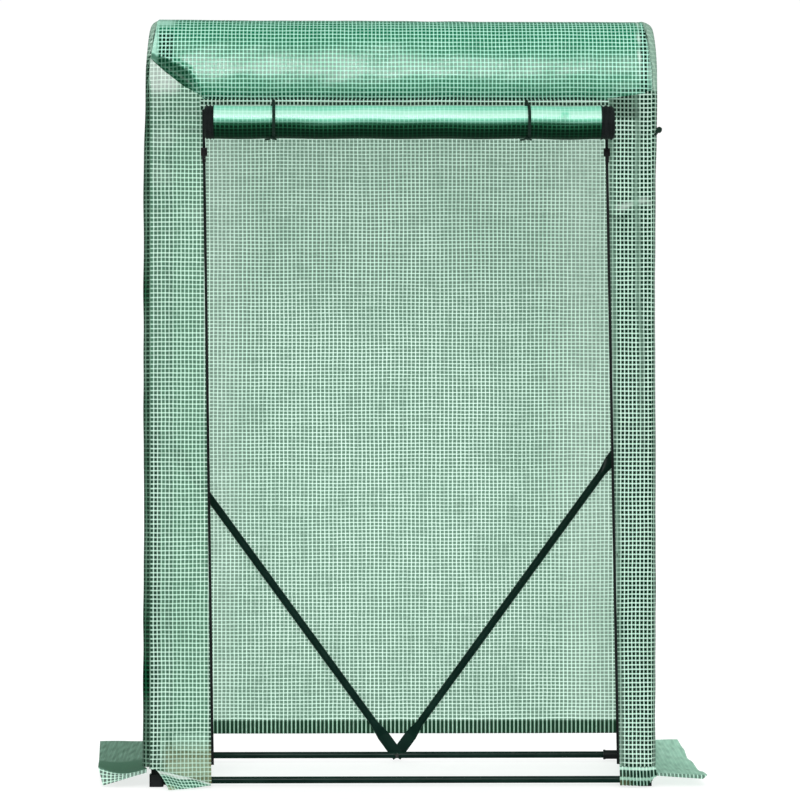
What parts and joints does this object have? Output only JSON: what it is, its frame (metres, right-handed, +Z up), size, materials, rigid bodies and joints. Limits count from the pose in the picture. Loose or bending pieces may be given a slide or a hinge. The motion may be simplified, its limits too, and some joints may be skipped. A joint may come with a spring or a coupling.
{
  "type": "mini walk-up greenhouse",
  "caption": "Narrow tube-frame greenhouse with a mesh-reinforced green film cover, a rounded roof, a rolled-up zipped door and a V brace at the back.",
  "frame": {"origin": "on the ground, in the middle of the whole part's footprint, the flaps and the rolled door included", "axes": "+Z up, +X to the right of someone facing the door, +Y from the door to the back wall"},
  "size_m": [1.202, 0.58, 1.515],
  "materials": {
    "green_steel": "dark green powder coat, satin",
    "black_plastic": "moulded, fine texture",
    "zinc_steel": "zinc plated",
    "grid_film": "translucent green polyethylene film over a light woven grid, glossy",
    "zip_tape": "woven black tape with a nylon coil",
    "zip_metal": "black lacquered zinc alloy",
    "tie_cord": "flat woven tie tape, very dark green"
  },
  "bodies": {
    "frame": {"brace_bolts": "zinc_steel", "brace_left": "green_steel", "brace_nuts": "zinc_steel", "brace_right": "green_steel", "cover_corner_tie": "tie_cord", "cover_door_hem": "grid_film", "cover_front_strip_left": "grid_film", "cover_front_strip_right": "grid_film", "cover_rear_wall": "grid_film", "cover_roof": "grid_film", "cover_side_wall_left": "grid_film", "cover_side_wall_right": "grid_film", "door_curtain": "grid_film", "eave_connector_front_left": "black_plastic", "eave_connector_front_right": "black_plastic", "eave_connector_rear_left": "black_plastic", "eave_connector_rear_right": "black_plastic", "foot_connector_front_left": "black_plastic", "foot_connector_front_right": "black_plastic", "foot_connector_rear_left": "black_plastic", "foot_connector_rear_right": "black_plastic", "ground_flap_front_left": "grid_film", "ground_flap_front_right": "grid_film", "ground_flap_left": "grid_film", "ground_flap_right": "grid_film", "post_lower_front_left": "green_steel", "post_lower_front_right": "green_steel", "post_lower_rear_left": "green_steel", "post_lower_rear_right": "green_steel", "post_upper_front_left": "green_steel", "post_upper_front_right": "green_steel", "post_upper_rear_left": "green_steel", "post_upper_rear_right": "green_steel", "rail_bottom_front": "green_steel", "rail_bottom_left": "green_steel", "rail_bottom_rear": "green_steel", "rail_bottom_right": "green_steel", "rail_eave_front": "green_steel", "rail_eave_rear": "green_steel", "rail_ridge": "green_steel", "ridge_connector_left": "black_plastic", "ridge_connector_right": "black_plastic", "roof_hoop_front_left": "green_steel", "roof_hoop_front_right": "green_steel", "roof_hoop_rear_left": "green_steel", "roof_hoop_rear_right": "green_steel", "zip_tape_left": "zip_tape", "zip_tape_right": "zip_tape"},
    "door": {"door_roll": "grid_film", "roll_zip_edge_left": "zip_tape", "roll_zip_edge_right": "zip_tape", "roll_tie_left": "tie_cord", "roll_tie_right": "tie_cord"},
    "slider_left": {"zip_slider_left": "zip_metal"},
    "slider_right": {"zip_slider_right": "zip_metal"},
    "pull_left": {"zip_pull_left": "zip_metal"},
    "pull_right": {"zip_pull_right": "zip_metal"}
  },
  "joints": [
    {"name": "door_drop", "type": "slide", "parent": "frame", "child": "door", "axis": [0, 0, -1], "range_m": [0, 1.225], "deforming": ["door_curtain"]},
    {"name": "slider_left_travel", "type": "slide", "parent": "frame", "child": "slider_left", "axis": [0.0139, 0, -0.9999], "range_m": [0, 1.18]},
    {"name": "pull_left_flip", "type": "hinge", "parent": "slider_left", "child": "pull_left", "pos_m": [-0.38433, -0.2151, 1.24496], "axis": [-0.9999, 0, -0.0139], "range_deg": [0, 170]},
    {"name": "slider_right_travel", "type": "slide", "parent": "frame", "child": "slider_right", "axis": [0.0186, 0, -0.9998], "range_m": [0, 1.18]},
    {"name": "pull_right_flip", "type": "hinge", "parent": "slider_right", "child": "pull_right", "pos_m": [0.40229, -0.2151, 1.24505], "axis": [-0.9998, 0, -0.0186], "range_deg": [0, 170]}
  ]
}
